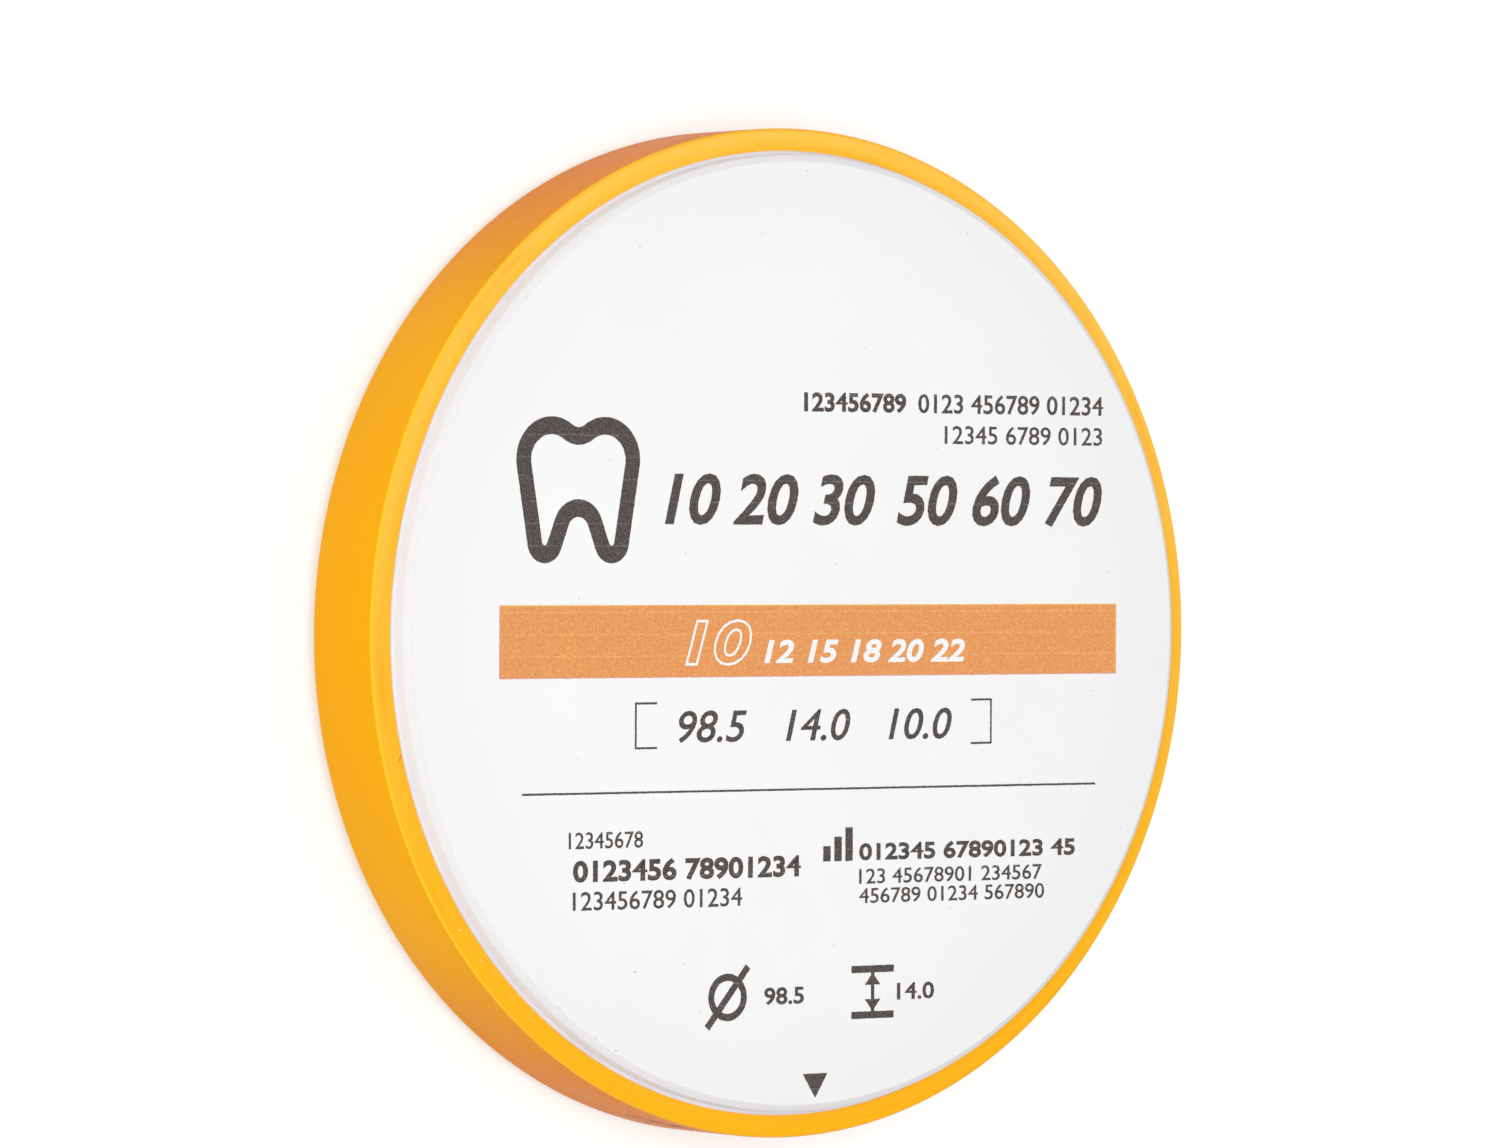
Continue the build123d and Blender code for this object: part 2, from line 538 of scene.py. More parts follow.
    def surface(self, point: SurfacePoint) -> dict[str, bpy.types.Node]:
        """Vary the ring's gloss along its smears, and ripple its skin.

        Args:
            point: the surface point.

        Returns:
            The shader's roughness and normal.
        """
        tree = point.tree
        spread = (self.streaks(point), 0.35, 0.75, self.roughness - 0.04, self.roughness + 0.08)
        rough = add_node(tree, "MapRange", EASED, spread)
        ripples = add_node(tree, "TexNoise", {}, {"Vector": point.place, "Scale": 1 / self.ripple_mm})
        raised = {"Height": ripples, "Strength": 0.10, "Distance": 0.02 * MM}
        return {"Roughness": rough, "Normal": add_node(tree, "Bump", {}, raised)}


@dataclass(frozen=True)
class CuredAdhesive(Finish):
    """Cured epoxy, filled white: a pale bead with a soft gloss, and painted shade in its corner by the
    blank.

    Attributes:
        ground: where it is thinner.
        pale: the clean bead.
        corner: painted shade along the line where it meets the blank.
        tick: crumbs of the collar in its outer edge.
        bore_radius_mm: the radius of its outer edge.
        wall_radius_mm: the radius of its inner edge.
    """

    name: str = "adhesive_epoxy_cured"
    roughness: float = 0.42
    ior: float = 1.52
    ground: str = "#DED8DA"
    pale: str = "#E8E3E5"
    corner: str = "#DCD0CD"
    tick: str = "#EBB98A"
    bore_radius_mm: float = 47.05
    wall_radius_mm: float = 46.6

    def layers(self, point: SurfacePoint) -> list[Layer]:
        """List the thicker lengths of the bead, the painted shade along its inner edge and the marks along
        its outer edge.

        Args:
            point: the surface point.

        Returns:
            The layers, lowest first.
        """
        tree, wall, bore = point.tree, self.wall_radius_mm, self.bore_radius_mm
        ring = point.round_ring(along=6.0, across=0.5)
        runs = add_node(tree, "TexNoise", {}, {"Vector": ring, "Scale": 1.0, "Detail": 3.0})
        short_ring = point.round_ring(along=0.35, across=4.0)
        crumbs = add_node(tree, "TexNoise", {}, {"Vector": short_ring, "Scale": 1.0, "Detail": 1.0})
        near_wall = (point.radius, wall + 0.02, wall + 0.14, 1.0, 0.0)
        near_bore = (point.radius, bore - 0.10, bore - 0.02, 0.0, 1.0)
        return [
            (self.pale, (runs, 0.3, 0.7, 0.0, 1.0)),
            # Painted shade in the corner where the bead meets the blank's wall
            (self.corner, near_wall, (runs, 0.25, 0.65, 0.3, 0.7)),
            (self.tick, near_bore, (crumbs, 0.70, 0.78, 0.0, 0.8)),
        ]


@dataclass(frozen=True)
class JetInk(Finish):
    """Ink-jet print on chalk: matt, with a dotted grain and faint gaps where the head's passes meet.

    Attributes:
        ground: the ink.
        deep: where drops overlap.
        light: where they are thin.
        gap: the ground that shows between two passes.
        gap_strength: how far it shows.
        dot_mm: the drops.
        pass_mm: the height of a pass of the print head, a twelfth of an inch.
        gap_mm: half the width of the gap.
        dash_mm: the length of the gap's dashes.
    """

    name: str = "ink_jet_dark"
    roughness: float = 0.7
    ior: float = 1.48
    ground: str = "#4B423E"
    deep: str = "#342C29"
    light: str = "#655A55"
    gap: str = "#B9B2AC"
    gap_strength: float = 0.4
    dot_mm: float = 0.16
    pass_mm: float = 25.4 / 12
    gap_mm: float = 0.075
    dash_mm: float = 0.5

    def layers(self, point: SurfacePoint) -> list[Layer]:
        """List the drops, and the thin dashed lines one pass apart.

        Args:
            point: the surface point.

        Returns:
            The layers, lowest first.
        """
        tree, place = point.tree, point.place
        dots = add_node(tree, "TexNoise", {}, {"Vector": place, "Scale": 1 / self.dot_mm, "Detail": 1.0})
        across = add_node(tree, "Math", {"operation": "PINGPONG"}, (point.y, self.pass_mm / 2))
        squeezed = add_node(tree, "Mapping", {}, {"Vector": place, "Scale": (1.0, 6.0, 1.0)})
        dashed = {"Vector": squeezed, "Scale": 1 / self.dash_mm, "Detail": 3.0}
        dashes = add_node(tree, "TexNoise", {}, dashed)
        return [
            (self.deep, (dots, 0.30, 0.50, 1.0, 0.0)),
            (self.light, (dots, 0.52, 0.74, 0.0, 1.0)),
            (self.gap, (across, 0.0, self.gap_mm, 1.0, 0.0), (dashes, 0.42, 0.58, 0.0, self.gap_strength)),
        ]


@dataclass(frozen=True)
class StripeInk(JetInk):
    """The orange field, of yellow and magenta drops, which part along its outline.

    Attributes:
        yellow: the fringe along its top and its right end.
        violet: the fringe along its left end and its foot.
        left_mm: its left end.
        right_mm: its right end.
        foot_mm: its foot.
        top_mm: its top.
        flicker_mm: the size of the drops in its fringes.
    """

    name: str = "ink_jet_orange"
    ground: str = "#E69856"
    deep: str = "#DE8A50"
    light: str = "#F0B066"
    gap: str = "#F9D485"
    gap_strength: float = 0.6
    yellow: str = "#F3C766"
    violet: str = "#CF9AA6"
    left_mm: float = -36.0
    right_mm: float = 39.0
    foot_mm: float = -4.2
    top_mm: float = 2.8
    flicker_mm: float = 0.3

    def layers(self, point: SurfacePoint) -> list[Layer]:
        """List the drops, and two fringes over them.

        Args:
            point: the surface point.

        Returns:
            The layers, lowest first.
        """
        tree, layers = point.tree, super().layers(point)
        drops = add_node(tree, "TexNoise", {}, {"Vector": point.place, "Scale": 1 / self.flicker_mm})
        at_top = (point.y, self.top_mm - 0.17, self.top_mm - 0.07, 0.0, 0.9)
        at_right = (point.x, self.right_mm - 0.22, self.right_mm - 0.08, 0.0, 0.9)
        at_left = (point.x, self.left_mm + 0.06, self.left_mm + 0.20, 0.8, 0.0)
        at_foot = (point.y, self.foot_mm + 0.05, self.foot_mm + 0.15, 0.8, 0.0)
        for tint, sides in ((self.yellow, (at_top, at_right)), (self.violet, (at_left, at_foot))):
            edges = tuple(add_node(tree, "MapRange", EASED, side) for side in sides)
            either = add_node(tree, "Math", {"operation": "MAXIMUM"}, edges)
            layers.append((tint, either, (drops, 0.3, 0.7, 0.35, 1.0)))
        return layers


class Ink(Enum):
    """The three printed tones, each by the record's slot."""

    DARK = "dark_ink"
    ORANGE = "stripe_ink"
    BARE = "zirconia"


def finished_piece(
    name: str, shape: bmesh.types.BMesh, finish: Finish, replaced: Iterable[str] = ()
) -> bpy.types.Object:
    """Turn a bmesh into a finished piece of the object.

    Args:
        name: the piece's name.
        shape: its shape, which is freed here.
        finish: what it is made of.
        replaced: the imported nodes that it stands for.

    Returns:
        The new object.
    """
    mesh = bpy.data.meshes.new(name)
    shape.to_mesh(mesh)
    shape.free()
    mesh.shade_smooth()
    mesh.set_sharp_from_angle(angle=SHARP_ANGLE)
    mesh.materials.append(finish.material())
    piece = placed(name, mesh)
    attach(piece, BODY)
    if replaced:
        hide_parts(*replaced)
    log.info("%s: %d faces", name, len(mesh.polygons))
    return piece


@dataclass(frozen=True)
class RoundedCircle:
    """One circle of a turned piece that gets rounded.

    Attributes:
        radius: the circle's radius.
        height: its height.
        size: how wide the rounding is.
        segments: how many steps it has.
    """

    radius: float
    height: float
    size: float
    segments: int

    def edges(self, shape: bmesh.types.BMesh) -> list[bmesh.types.BMEdge]:
        """Find the circle's edges in a turned shape.

        Args:
            shape: the turned shape.

        Returns:
            The edges.
        """
        near = 0.002 * MM
        ring = {
            vertex
            for vertex in shape.verts
            if abs(vertex.co.xy.length - self.radius) < near and abs(vertex.co.z - self.height) < near
        }
        return [edge for edge in shape.edges if edge.verts[0] in ring and edge.verts[1] in ring]


@dataclass
class TurnedPiece:
    """A solid of revolution about +Z, spun from half of its section.

    Attributes:
        steps: how many facets go round it.
    """

    steps: int = 384

    def section(self) -> list[tuple[float, float]]:
        """Give the radius and height of each corner of the half section."""
        raise NotImplementedError

    def rounded(self) -> list[RoundedCircle]:
        """Give the circles that get rounded, which by default are none."""
        return []

    def shape(self) -> bmesh.types.BMesh:
        """Spin the section and round its circles.

        Returns:
            The closed shape, with its faces pointing outwards.
        """
        turned = bmesh.new()
        points = [turned.verts.new((radius, 0.0, height)) for radius, height in self.section()]
        for first, second in zip(points, points[1:]):
            turned.edges.new((first, second))
        if self.section()[0][0] > 0:
            turned.edges.new((points[-1], points[0]))
        bmesh.ops.spin(
            turned,
            geom=turned.verts[:] + turned.edges[:],
            cent=(0.0, 0.0, 0.0),
            axis=(0.0, 0.0, 1.0),
            angle=math.tau,
            steps=self.steps,
            use_merge=True,
        )
        bmesh.ops.remove_doubles(turned, verts=turned.verts[:], dist=WELD)
        for circle in self.rounded():
            bmesh.ops.bevel(
                turned,
                geom=circle.edges(turned),
                offset=circle.size,
                offset_type="OFFSET",
                segments=circle.segments,
                profile=0.5,
                affect="EDGES",
                material=-1,
            )
        bmesh.ops.recalc_face_normals(turned, faces=turned.faces[:])
        return turned


@dataclass
class Blank(TurnedPiece):
    """The pressed disc, with its two faces and their chamfers.

    Attributes:
        chamfer_width: the width of the chamfer round each face.
        chamfer_height: the height of that chamfer.
        edge_round: how far its edges are worn round.
    """

    chamfer_width: float = 0.65 * MM
    chamfer_height: float = 0.5 * MM
    edge_round: float = 0.05 * MM

    def section(self) -> list[tuple[float, float]]:
        """Give the half section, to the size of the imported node."""
        low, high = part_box("zirconia_blank")
        face = high.x - self.chamfer_width
        return [
            (0.0, low.z),
            (face, low.z),
            (high.x, low.z + self.chamfer_height),
            (high.x, high.z - self.chamfer_height),
            (face, high.z),
            (0.0, high.z),
        ]

    def rounded(self) -> list[RoundedCircle]:
        """Wear the four circles a little."""
        edges = self.section()[1:-1]
        return [RoundedCircle(radius, height, self.edge_round, 2) for radius, height in edges]

    def dress(self) -> PressedZirconia:
        """Give the finish, with its edge where the face ends."""
        face = self.section()[1][0]
        return PressedZirconia(face_radius_mm=face / MM, chamfer_mm=self.chamfer_width / MM)

    def build(self) -> bpy.types.Object:
        """Make the blank."""
        return finished_piece("blank_body", self.shape(), self.dress(), ["zirconia_blank"])


@dataclass
class Collar(TurnedPiece):
    """The moulded ring that a holder grips.

    Attributes:
        edge_radius: the rounding of its two outer edges.
        bore_break: the small break of its two inner edges.
    """

    edge_radius: float = 0.3 * MM
    bore_break: float = 0.04 * MM

    def section(self) -> list[tuple[float, float]]:
        """Give the section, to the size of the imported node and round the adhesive."""
        low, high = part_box("collar_ring")
        rim, bore = high.x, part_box("bond_line")[1].x
        return [(bore, low.z), (rim, low.z), (rim, high.z), (bore, high.z)]

    def rounded(self) -> list[RoundedCircle]:
        """Round the outer edges, and break the inner ones."""
        (bore, foot), _, (rim, top), _ = self.section()
        outer = [RoundedCircle(rim, height, self.edge_radius, 6) for height in (foot, top)]
        return outer + [RoundedCircle(bore, height, self.bore_break, 1) for height in (foot, top)]

    def dress(self) -> MouldedCollar:
        """Give the finish, with its shading where the ring's edges are."""
        (bore, foot), _, (rim, top), _ = self.section()
        return MouldedCollar(
            bore_radius_mm=bore / MM,
            rim_radius_mm=rim / MM,
            middle_mm=(foot + top) / 2 / MM,
            half_height_mm=(top - foot) / 2 / MM,
            edge_radius_mm=self.edge_radius / MM,
        )

    def build(self) -> bpy.types.Object:
        """Make the collar."""
        return finished_piece("collar_body", self.shape(), self.dress(), ["collar_ring"])


@dataclass
class BondBead(TurnedPiece):
    """The adhesive between blank and collar, with a hollow surface on each side.

    Attributes:
        sag: how deep the middle of each surface lies.
        segments: how many steps make the hollow.
    """

    sag: float = 0.12 * MM
    segments: int = 8

    def section(self) -> list[tuple[float, float]]:
        """Give the section, between the blank's wall and the collar's bore.

        Returns:
            The hollow upper side, and then the lower one.
        """
        low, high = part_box("bond_line")
        wall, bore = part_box("zirconia_blank")[1].x, high.x
        shares = [step / self.segments for step in range(self.segments + 1)]
        upper = [(wall + (bore - wall) * s, high.z - self.sag * math.sin(math.pi * s)) for s in shares]
        lower = [(radius, low.z + high.z - height) for radius, height in reversed(upper)]
        return upper + lower

    def dress(self) -> CuredAdhesive:
        """Give the finish, with its marks along the bead's two edges."""
        radii = [radius / MM for radius, _ in self.section()]
        return CuredAdhesive(bore_radius_mm=max(radii), wall_radius_mm=min(radii))

    def build(self) -> bpy.types.Object:
        """Make the bead."""
        return finished_piece("bond_bead", self.shape(), self.dress(), ["bond_line"])


@dataclass
class InkFilm:
    """A thin printed film, with the frayed outline that ink-jet drops leave.

    Attributes:
        level: the height of the face that it is printed on.
        thickness: how thick the film is.
        fray_step: the distance between points along its outline.
        fray_size: the size of the waves in it.
        fray_depth: how far they stray.
        fray_seed: the seed of the waves, because the noise is drawn by the clock without one.
    """

    level: float
    thickness: float = 0.02 * MM
    fray_step: float = 0.14 * MM
    fray_size: float = 0.22 * MM
    fray_depth: float = 0.03 * MM
    fray_seed: int = 1

    def fray(self, flat: bmesh.types.BMesh) -> None:
        """Divide a flat shape's outline and let its points stray a little.

        Args:
            flat: the flat shape.
        """
        noise.seed_set(self.fray_seed)
        outline = [edge for edge in flat.edges if edge.is_boundary]
        for edge in outline:
            cuts = int(edge.calc_length() / self.fray_step)
            if cuts:
                bmesh.ops.subdivide_edges(flat, edges=[edge], cuts=cuts)
        for vertex in flat.verts:
            if vertex.is_boundary:
                stray = noise.noise_vector(vertex.co / self.fray_size)
                vertex.co.xy += stray.xy * self.fray_depth

    def thicken(self, flat: bmesh.types.BMesh) -> None:
        """Make a closed film of a flat shape.

        Args:
            flat: the flat shape, which becomes the film.
        """
        for vertex in flat.verts:
            vertex.co.z = self.level
        grown = bmesh.ops.extrude_face_region(flat, geom=flat.faces[:], use_keep_orig=True)
        lifted = [item for item in grown["geom"] if isinstance(item, bmesh.types.BMVert)]
        bmesh.ops.translate(flat, verts=lifted, vec=(0.0, 0.0, self.thickness))
        bmesh.ops.recalc_face_normals(flat, faces=flat.faces[:])


@dataclass
class PrintedField:
    """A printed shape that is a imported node.

    Attributes:
        node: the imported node.
        name: the piece's name.
        ink: its tone.
    """

    node: str
    name: str
    ink: Ink = Ink.DARK

    def outline(self, film: InkFilm) -> bmesh.types.BMesh:
        """Take the upper face of the node's film.

        Args:
            film: the film that it is printed as.

        Returns:
            The flat shape.
        """
        straight = 0.001
        flat = bmesh.new()
        flat.from_mesh(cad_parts[self.node].data)
        bmesh.ops.remove_doubles(flat, verts=flat.verts[:], dist=WELD)
        limit = film.level + 0.9 * film.thickness
        under = [face for face in flat.faces if face.calc_center_median().z < limit]
        bmesh.ops.delete(flat, geom=under, context="FACES")
        bmesh.ops.dissolve_limit(flat, angle_limit=straight, verts=flat.verts[:], edges=flat.edges[:])
        return flat

    def dress(self) -> JetInk:
        """Give the ink, with its fringe where the field ends."""
        if self.ink is Ink.DARK:
            return JetInk()
        low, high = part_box(self.node)
        left, foot, right, top = (value / MM for value in (low.x, low.y, high.x, high.y))
        return StripeInk(left_mm=left, right_mm=right, foot_mm=foot, top_mm=top)

    def build(self, film: InkFilm) -> bpy.types.Object:
        """Print the field.

        Args:
            film: the film that it is printed as.

        Returns:
            The printed piece.
        """
        flat = self.outline(film)
        film.fray(flat)
        bmesh.ops.triangulate(flat, faces=flat.faces[:])
        film.thicken(flat)
        return finished_piece(self.name, flat, self.dress(), [self.node])


@dataclass
class Numerals:
    """A row of plain printed numbers, fitted to a box on the face, in millimetres from its centre.

    Attributes:
        name: the piece's name.
        text: the numbers.
        left: left end of the row.
        right: its right end.
        base: the foot of the figures.
        top: their head.
        weight: how far their strokes are thickened on each side.
        slant: how far they lean, 0 for upright.
        stroke: the width of the line where only an outline is printed, or 0.
        ink: the tone.
    """

    name: str
    text: str
    left: float
    right: float
    base: float
    top: float
    weight: float = 0.0
    slant: float = 0.0
    stroke: float = 0.0
    ink: Ink = Ink.DARK

    def written(self) -> bmesh.types.BMesh:
        """Write the numbers as a flat shape.

        Returns:
            The flat shape, at the size that the letters have by themselves.
        """
        words = bpy.data.curves.new(self.name, "FONT")
        words.body = self.text
        words.shear = self.slant
        words.resolution_u = 4
        writer = placed(self.name + "_writer", words)
        graph = bpy.context.evaluated_depsgraph_get()
        mesh = bpy.data.meshes.new_from_object(writer.evaluated_get(graph))
        flat = bmesh.new()
        flat.from_mesh(mesh)
        bmesh.ops.remove_doubles(flat, verts=flat.verts[:], dist=1e-5)
        bpy.data.objects.remove(writer)
        bpy.data.curves.remove(words)
        bpy.data.meshes.remove(mesh)
        return flat

    def outline(self) -> bmesh.types.BMesh:
        """Fit the numbers to the row's box, thickened or hollowed.

        Returns:
            The flat shape.
        """
        flat = self.written()
        across = [vertex.co.x for vertex in flat.verts]
        up = [vertex.co.y for vertex in flat.verts]
        left, base = (self.left + self.weight) * MM, (self.base + self.weight) * MM
        wide = ((self.right - self.weight) * MM - left) / (max(across) - min(across))
        high = ((self.top - self.weight) * MM - base) / (max(up) - min(up))
        bmesh.ops.translate(flat, verts=flat.verts[:], vec=(-min(across), -min(up), 0.0))
        bmesh.ops.scale(flat, verts=flat.verts[:], vec=(wide, high, 1.0))
        bmesh.ops.translate(flat, verts=flat.verts[:], vec=(left, base, 0.0))
        if self.weight:
            self.thicken(flat)
        if self.stroke:
            self.hollow(flat)
        return flat

    def ways_out(self, flat: bmesh.types.BMesh) -> dict[tuple[float, ...], Vector]:
        """Find the way outwards at every point of a flat shape's outline.

        Args:
            flat: the flat shape.

        Returns:
            By place, the direction out of the shape, longer at a corner, for a move of one.
        """
        least_length, longest_move = 0.2, 2.0
        ways = {}
        for vertex in flat.verts:
            outwards = Vector((0.0, 0.0, 0.0))
            for edge in vertex.link_edges:
                if edge.is_boundary:
                    along = edge.verts[1].co - edge.verts[0].co
                    side = Vector((along.y, -along.x, 0.0)).normalized()
                    inwards = edge.link_faces[0].calc_center_median() - edge.verts[0].co
                    outwards += side if side.dot(inwards) < 0 else -side
            if outwards.length > least_length:
                move = min(2 / outwards.length, longest_move)
                ways[tuple(vertex.co)] = outwards.normalized() * move
        return ways

    def thicken(self, flat: bmesh.types.BMesh) -> None:
        """Move the outline of the numbers outwards.

        Args:
            flat: the flat shape.
        """
        ways = self.ways_out(flat)
        for vertex in flat.verts:
            outwards = ways.get(tuple(vertex.co))
            if outwards:
                vertex.co += outwards * self.weight * MM

    def hollow(self, flat: bmesh.types.BMesh) -> None:
        """Leave only a line along the outline of the numbers.

        Args:
            flat: the flat shape.
        """
        filled = flat.faces[:]
        ways = self.ways_out(flat)
        rim = [edge for edge in flat.edges if edge.is_boundary]
        band = bmesh.ops.extrude_edge_only(flat, edges=rim)
        for item in band["geom"]:
            if isinstance(item, bmesh.types.BMVert):
                item.co -= ways[tuple(item.co)] * self.stroke * MM
        bmesh.ops.delete(flat, geom=filled, context="FACES")

    def dress(self) -> Finish:
        """Give the dark ink, or the bare ceramic of a row that the stripe leaves out."""
        return PressedZirconia() if self.ink is Ink.BARE else JetInk()

    def build(self, film: InkFilm) -> bpy.types.Object:
        """Print the row.

        Args:
            film: the film that it is printed as.

        Returns:
            The printed piece.
        """
        flat = self.outline()
        film.fray(flat)
        film.thicken(flat)
        return finished_piece(self.name, flat, self.dress())


@dataclass
class PrintedFace:
    """All that is printed on the front face.

    Attributes:
        level: the height of the face.
        bare_lift: how far the bare figures in the stripe stand over it.
        lean: the slant of the sloping figures.
        stripe_lean: the slant of those in the stripe.
    """

    level: float
    bare_lift: float = 0.004 * MM
    lean: float = 0.22
    stripe_lean: float = 0.2

    def fields(self) -> list[PrintedField]:
        """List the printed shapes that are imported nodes."""
        return [
            PrintedField("print_stripe", "stripe_field", Ink.ORANGE),
            PrintedField("print_brackets", "bracket_pair"),
            PrintedField("print_rule", "dividing_rule"),
            PrintedField("print_arrow", "edge_arrow"),
            PrintedField("print_tooth", "tooth_outline"),
            PrintedField("print_bars", "ascending_bars"),
            PrintedField("print_diameter_sign", "diameter_sign"),
            PrintedField("print_thickness_sign", "thickness_sign"),
        ]

    def rows(self) -> list[Numerals]:
        """List the rows of figures that are printed straight on the face."""
        lean = self.lean
        return [
            Numerals("figures_top_left", "123456789", -0.1, 12.4, 21.6, 23.5, 0.085),
            Numerals("figures_top_right", "0123 456789 01234", 13.9, 37.2, 21.6, 23.5, 0.04),
            Numerals("figures_second_line", "12345 6789 0123", 17.2, 37.1, 18.6, 20.4, 0.02),
            Numerals("headline_first", "10 20 30", -16.7, 8.6, 10.5, 15.5, 0.16, lean),
            Numerals("headline_second", "50 60 70", 11.3, 37.1, 10.5, 15.5, 0.16, lean),
            Numerals("bracket_figures", "98.5   14.0   10.0", -15.0, 18.2, -10.5, -7.4, 0.04, lean),
            Numerals("left_small", "12345678", -27.9, -19.2, -20.5, -18.9, 0.02),
            Numerals("left_bold", "0123456 78901234", -27.4, -0.3, -23.7, -21.6, 0.11),
            Numerals("left_fine", "123456789 01234", -27.4, -7.4, -26.4, -24.6, 0.02),
            Numerals("right_bold", "012345 67890123 45", 6.8, 33.8, -22.3, -20.6, 0.085),
            Numerals("right_fine_first", "123 45678901 234567", 6.8, 29.6, -24.6, -23.1, 0.02),
            Numerals("right_fine_second", "456789 01234 567890", 6.8, 29.9, -26.5, -25.0, 0.02),
            Numerals("diameter_figures", "98.5", -4.7, 0.1, -36.1, -34.4, 0.06),
            Numerals("thickness_figures", "14.0", 11.5, 16.1, -36.1, -34.4, 0.06),
        ]

    def bare_rows(self) -> list[Numerals]:
        """List the rows of figures that the stripe leaves bare."""
        lean, bare = self.stripe_lean, Ink.BARE
        return [
            Numerals("stripe_outline_figures", "10", -14.2, -6.3, -3.1, 1.4, 0.3, lean, 0.24, bare),
            Numerals("stripe_figures", "12 15 18 20 22", -4.8, 19.8, -2.9, -0.6, 0.11, lean, 0.0, bare),
        ]

    def build(self) -> None:
        """Print the fields, then the figures."""
        film = InkFilm(self.level)
        for shape in self.fields():
            shape.build(film)
        for row in self.rows():
            row.build(film)
        bare = InkFilm(self.level, thickness=film.thickness + self.bare_lift)
        for row in self.bare_rows():
            row.build(bare)


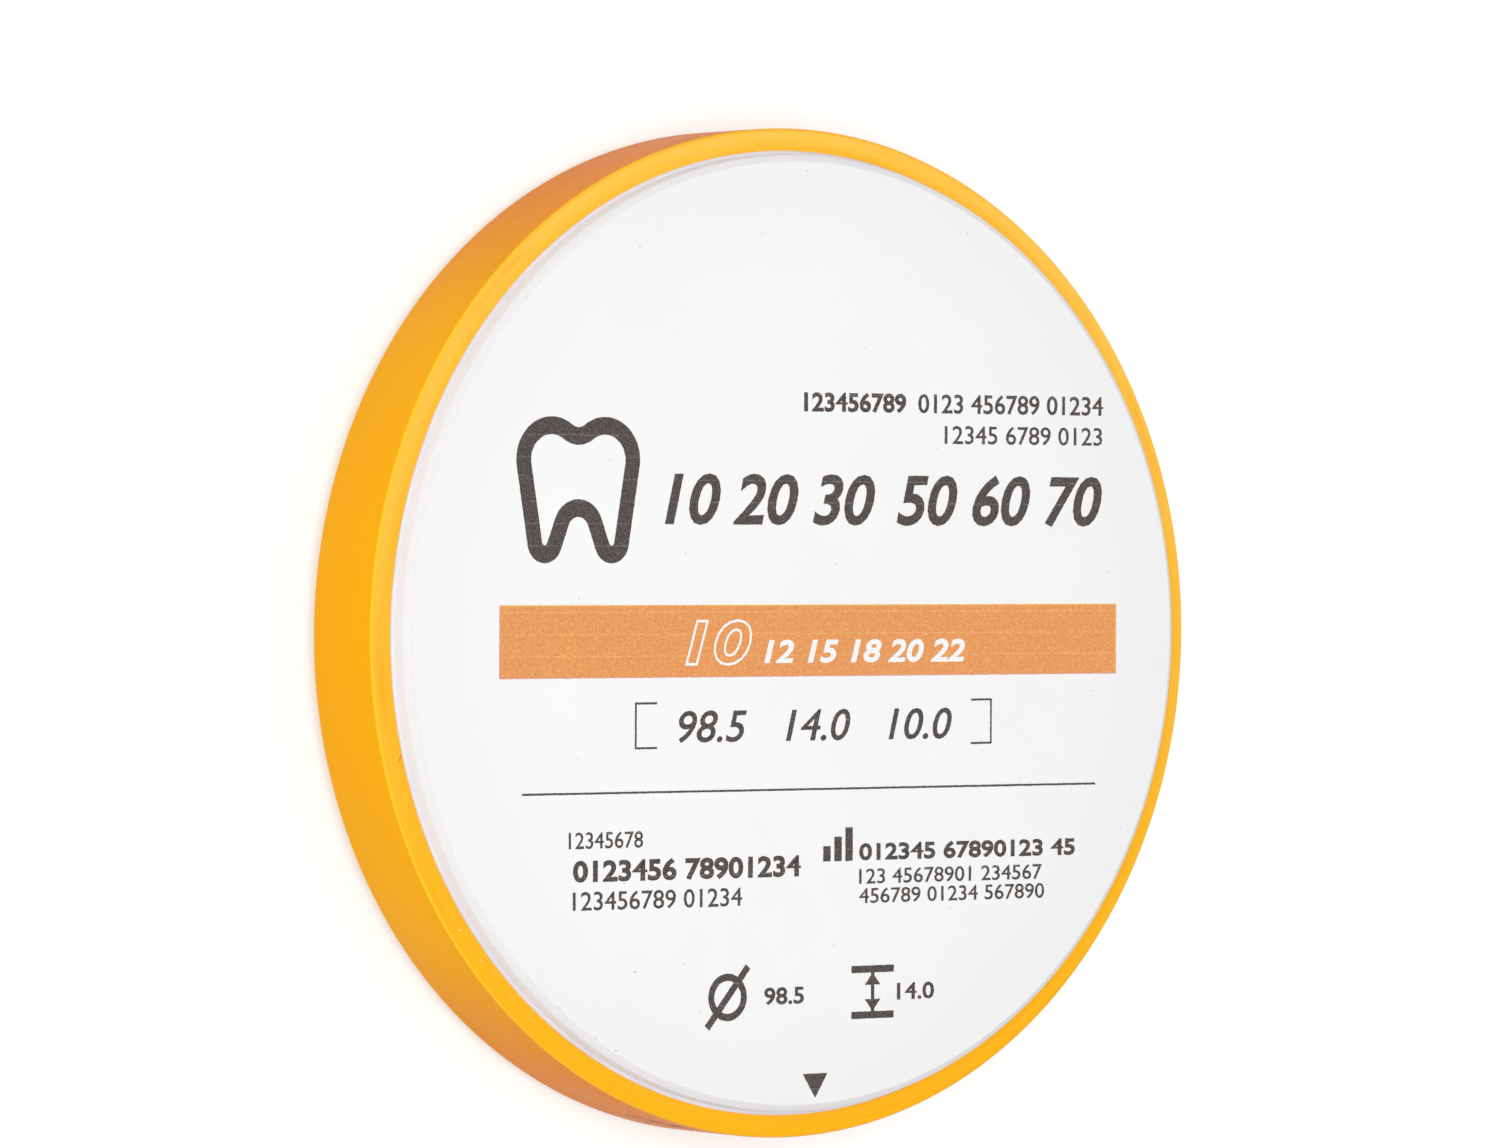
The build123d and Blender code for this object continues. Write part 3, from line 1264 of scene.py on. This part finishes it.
@dataclass
class Studio:
    """Pale floor, soft light and white surroundings.

    Attributes:
        floor_size: side of the square floor.
        floor_drop: the hair's breadth that keeps the floor apart from the disc's back face.
        floor_colour: the floor's paper.
        floor_lift: how far the floor is lifted to white where nothing shades it.
        key_tilt: how far the key light leans from the disc's axis, towards its left.
        key_distance: from the disc's centre to the key light.
        key_size: side of the square key light.
        key_power: its power in watts.
        surround: how bright the surroundings are as a light.
        below_print: share of that brightness that comes from below the print.
        above_print: share of it that comes from above the print.
        dimmest: how far above or below the print that share is reached, 1 for straight above.
    """

    floor_size: float = 4.0
    floor_drop: float = 0.02 * MM
    floor_colour: str = "#E6E6E6"
    floor_lift: float = 0.33
    key_tilt: float = math.radians(31)
    key_distance: float = 3.0
    key_size: float = 2.0
    key_power: float = 45.5
    surround: float = 0.96
    below_print: float = 0.15
    above_print: float = 0.3
    dimmest: float = 0.95

    def floor_material(self) -> bpy.types.Material:
        """Make the floor's white paper, lifted to white for the camera where nothing shades it.

        Returns:
            The material.
        """
        made = bpy.data.materials.new("floor_white_paper")
        made.use_nodes = True
        tree = made.node_tree
        tree.nodes.clear()
        paper = add_node(tree, "BsdfDiffuse", {}, {"Color": linear(self.floor_colour)})
        camera = add_node(tree, "LightPath").outputs["Is Camera Ray"]
        lift = add_node(tree, "Math", TIMES, (camera, self.floor_lift))
        glow = add_node(tree, "Emission", {}, {"Color": linear("#FFFFFF"), "Strength": lift})
        add_node(tree, "OutputMaterial", {}, (add_node(tree, "AddShader", {}, (paper, glow)),))
        return made

    def build_floor(self) -> None:
        """Lay a large white floor that keeps the object's shadow."""
        shape = bmesh.new()
        bmesh.ops.create_grid(shape, x_segments=1, y_segments=1, size=self.floor_size / 2)
        bmesh.ops.translate(shape, verts=shape.verts[:], vec=(0.0, 0.0, -self.floor_drop))
        mesh = bpy.data.meshes.new("studio_floor")
        shape.to_mesh(mesh)
        shape.free()
        mesh.materials.append(self.floor_material())
        placed("studio_floor", mesh)

    def build_key(self) -> None:
        """Hang one large soft light on the left."""
        lamp = bpy.data.lights.new("key_softbox", "AREA")
        lamp.shape = "SQUARE"
        lamp.size = self.key_size
        lamp.energy = self.key_power
        lean = Matrix.Rotation(-self.key_tilt, 4, "Y")
        placed("key_softbox", lamp).matrix_world = lean @ Matrix.Translation((0.0, 0.0, self.key_distance))

    def build_surroundings(self) -> None:
        """Surround the disc with white, dimmer as a light above and below the print."""
        world = bpy.data.worlds.new("white_surroundings")
        bpy.context.scene.world = world
        world.use_nodes = True
        tree = world.node_tree
        tree.nodes.clear()
        towards = add_node(tree, "TexCoord").outputs["Generated"]
        along = add_node(tree, "SeparateXYZ", {}, (towards,)).outputs[1]
        low = add_node(tree, "MapRange", EASED, (along, -self.dimmest, 0.0, self.below_print, 1.0))
        high = add_node(tree, "MapRange", EASED, (along, 0.0, self.dimmest, 1.0, self.above_print))
        dimmed = add_node(tree, "Math", TIMES, (low, high))
        soft = add_node(tree, "Math", TIMES, (dimmed, self.surround))

        # Rays of the camera, of gloss and of glass see plain white
        rays = add_node(tree, "LightPath").outputs
        first = add_node(tree, "Math", PLUS, (rays["Is Camera Ray"], rays["Is Glossy Ray"]))
        capped = {"operation": "ADD", "use_clamp": True}
        seen = add_node(tree, "Math", capped, (first, rays["Is Transmission Ray"]))
        unseen = add_node(tree, "Math", MINUS, (1.0, seen))
        strength = add_node(tree, "Math", {"operation": "MULTIPLY_ADD"}, (unseen, soft, seen))
        white = {"Color": linear("#FFFFFF"), "Strength": strength}
        add_node(tree, "OutputWorld", {}, (add_node(tree, "Background", {}, white),))

    def build(self) -> None:
        """Build the floor, the light and the surroundings."""
        self.build_floor()
        self.build_key()
        self.build_surroundings()


@dataclass
class DiscCamera:
    """The camera at the photograph's viewing angle, rolled so that the print stands upright.

    Attributes:
        turn: how far it stands to the left of the disc's axis.
        tip: how far its view is tipped about the line of print.
        distance: along its view to the level of the disc's middle.
        aim_right: how far the disc's middle lies right of its view.
        aim_down: how far the disc's middle lies below its view.
        focal_length_px: focal length in pixels of the picture.
        picture_width_px: width of that picture.
        sensor_width: width of the sensor in millimetres.
        nearest: how near it sees.
        farthest: how far it sees.
    """

    turn: float = math.radians(36.22)
    tip: float = math.radians(0.322)
    distance: float = 776.22 * MM
    aim_right: float = 1.34 * MM
    aim_down: float = 5.738 * MM
    focal_length_px: float = 7908.7
    picture_width_px: float = 1496.0
    sensor_width: float = 36.0
    nearest: float = 0.01
    farthest: float = 20.0

    def build(self) -> None:
        """Place the camera."""
        low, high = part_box("collar_ring")
        middle = (low + high) / 2
        turned = Matrix.Rotation(-self.tip, 4, "X") @ Matrix.Rotation(-self.turn, 4, "Y")
        from_middle = Vector((-self.aim_right, self.aim_down, self.distance))
        lens = bpy.data.cameras.new("photo_camera")
        lens.sensor_width = self.sensor_width
        lens.lens = self.sensor_width * self.focal_length_px / self.picture_width_px
        lens.clip_start = self.nearest
        lens.clip_end = self.farthest
        camera = placed("photo_camera", lens)
        camera.matrix_world = Matrix.Translation(middle) @ turned @ Matrix.Translation(from_middle)
        bpy.context.scene.camera = camera


def main() -> None:
    """Build the camera, the disc, its print and the studio."""
    logging.basicConfig(level=logging.INFO, format="%(name)s: %(message)s")
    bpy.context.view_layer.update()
    bpy.context.scene.view_settings.view_transform = "Standard"
    DiscCamera().build()
    Blank().build()
    Collar().build()
    BondBead().build()
    PrintedFace(level=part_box("zirconia_blank")[1].z).build()
    Studio().build()


if __name__ == "__main__":
    main()
